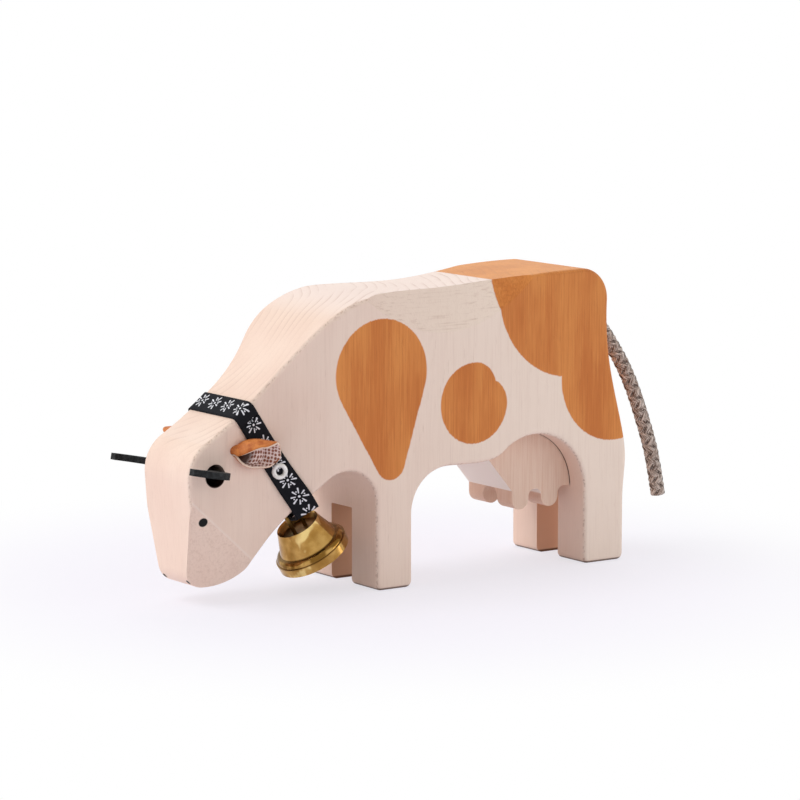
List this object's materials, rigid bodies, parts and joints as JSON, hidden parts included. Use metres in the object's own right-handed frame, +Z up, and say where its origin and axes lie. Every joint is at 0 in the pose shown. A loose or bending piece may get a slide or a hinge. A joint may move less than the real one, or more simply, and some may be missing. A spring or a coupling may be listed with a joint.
{
  "type": "wooden cow figurine",
  "caption": "Carved wooden figurine of a grazing cow with leather horns and ears, a woven ribbon collar carrying a brass bell with a clapper, a wooden udder and a rope tail.",
  "frame": {"origin": "on the floor under the middle of the cow's length, in its middle plane", "axes": "+X towards the tail, +Z up, -Y to the cow's left"},
  "size_m": [0.1852, 0.0485, 0.09],
  "materials": {
    "body_wood": "bare wood with brown stained patches",
    "udder_wood": "bare sawn wood",
    "horn_leather": "black dyed, cut edges",
    "ear_leather": "smooth outside, rough inside",
    "ribbon": "black woven ribbon with little white flowers",
    "eyelet": "polished",
    "bell_brass": "polished",
    "rope": "hemp rope"
  },
  "bodies": {
    "cow": {"body": "body_wood", "udder": "udder_wood", "horns": "horn_leather", "left_ear": "ear_leather", "right_ear": "ear_leather", "collar_ribbon": "ribbon", "collar_eyelet": "eyelet", "tail_rope": "rope"},
    "bell": {"bell_shell": "bell_brass", "bell_loop": "bell_brass", "clapper_hanger": "bell_brass"},
    "clapper": {"clapper": "bell_brass"}
  },
  "joints": [
    {"name": "bell_swing", "type": "hinge", "parent": "cow", "child": "bell", "pos_m": [-0.03506, -0.0055, 0.02351], "axis": [0, 1, 0], "range_deg": [-25, 45]},
    {"name": "clapper_swing", "type": "hinge", "parent": "bell", "child": "clapper", "pos_m": [-0.03013, -0.0055, 0.01563], "axis": [0, 1, 0], "range_deg": [-98, 34]}
  ]
}
